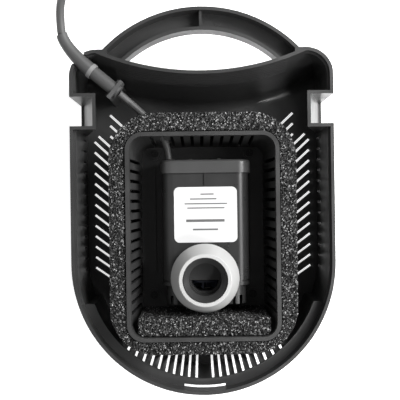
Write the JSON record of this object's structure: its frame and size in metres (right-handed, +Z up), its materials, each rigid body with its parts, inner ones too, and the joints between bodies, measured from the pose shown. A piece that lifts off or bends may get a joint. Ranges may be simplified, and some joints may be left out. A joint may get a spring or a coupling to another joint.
{
  "type": "fountain submersible pump",
  "caption": "Submersible magnet-driven fountain pump in an open slotted filter shell, with cage basket, foam filter, screw collar outlet, carry handle and mains cord.",
  "frame": {"origin": "centre of the bounding box in plan, at the height of the feet, with the free cord left out", "axes": "+X across the shell, +Y from the half-round front toward the carry handle, +Z up out of the open shell, along the outlet"},
  "size_m": [0.2057, 0.4638, 0.078],
  "materials": {
    "shell_plastic": "moulded satin black",
    "motor_plastic": "moulded black, light gloss",
    "basket_rim": "grey-black, edges catch the light",
    "white_plastic": "smooth off-white",
    "label_film": "plain white film, no print",
    "foam": "open-cell filter foam, near black",
    "black_rubber": "soft matte",
    "cord_rubber": "smooth cable jacket",
    "grey_rubber": "light grey ring",
    "stainless": "bright",
    "blackened": "black finish",
    "ferrite": "sintered dark grey",
    "lamination": "laminated",
    "copper": "enamelled copper wire",
    "ceramic_white": "polished ceramic",
    "bobbin_plastic": "natural nylon",
    "impeller_plastic": "dark blue-grey",
    "resin": "potting resin",
    "pin_metal": "nickelled brass"
  },
  "bodies": {
    "shell": {"lower_shell": "shell_plastic", "carry_handle": "shell_plastic", "shell_feet": "black_rubber", "cage_basket": "basket_rim", "basket_screws": "blackened", "motor_housing": "motor_plastic", "suction_feet": "black_rubber", "motor_end_cap": "motor_plastic", "cap_screws": "blackened", "resin_seal": "resin", "stator_core": "lamination", "coil_bobbins": "bobbin_plastic", "coil_windings": "copper", "ceramic_shaft": "ceramic_white", "shaft_bush_rear": "black_rubber", "shaft_bush_front": "black_rubber", "thrust_washer": "ceramic_white", "pump_chamber": "motor_plastic", "chamber_oring": "black_rubber", "chamber_screws": "stainless", "intake_grille": "motor_plastic", "rating_label": "label_film", "lead_splices": "copper", "lead_grommet": "black_rubber", "inner_lead": "cord_rubber", "relief_plug": "cord_rubber", "relief_ring": "grey_rubber", "relief_sleeve": "cord_rubber", "cord_free": "cord_rubber", "cord_coil": "cord_rubber", "cord_tail": "cord_rubber", "coil_ties": "black_rubber", "plug_body": "black_rubber", "plug_pins": "pin_metal", "plug_relief": "black_rubber"},
    "rotor": {"rotor_core": "white_plastic", "rotor_magnet": "ferrite"},
    "impeller": {"impeller": "impeller_plastic"},
    "gasket": {"collar_gasket": "black_rubber"},
    "collar": {"outlet_collar": "white_plastic"},
    "foam_ring": {"foam_sleeve": "foam"},
    "foam_pad": {"foam_block": "foam"}
  },
  "joints": [
    {"name": "rotor_spin", "type": "hinge", "parent": "shell", "child": "rotor", "pos_m": [0.002, -0.038, 0.03575], "axis": [0, 1, 0], "continuous": true},
    {"name": "impeller_play", "type": "hinge", "parent": "rotor", "child": "impeller", "pos_m": [0.002, -0.038, 0.03575], "axis": [0, 1, 0], "range_deg": [-120, 120]},
    {"name": "collar_lift", "type": "slide", "parent": "shell", "child": "gasket", "axis": [0, 0, 1], "range_m": [0, 0.0151]},
    {"name": "collar_turn", "type": "hinge", "parent": "gasket", "child": "collar", "pos_m": [0.0011, -0.0578, 0.07], "axis": [0, 0, 1], "range_deg": [0, 2340]},
    {"name": "foam_sleeve_lift", "type": "slide", "parent": "shell", "child": "foam_ring", "axis": [0, 0, 1], "range_m": [0, 0.09]},
    {"name": "foam_block_lift", "type": "slide", "parent": "shell", "child": "foam_pad", "axis": [0, 0, 1], "range_m": [0, 0.06]}
  ],
  "couplings": [
    {"joint": "collar_lift", "follows": "collar_turn", "m_per_rad": 0.00036749}
  ]
}
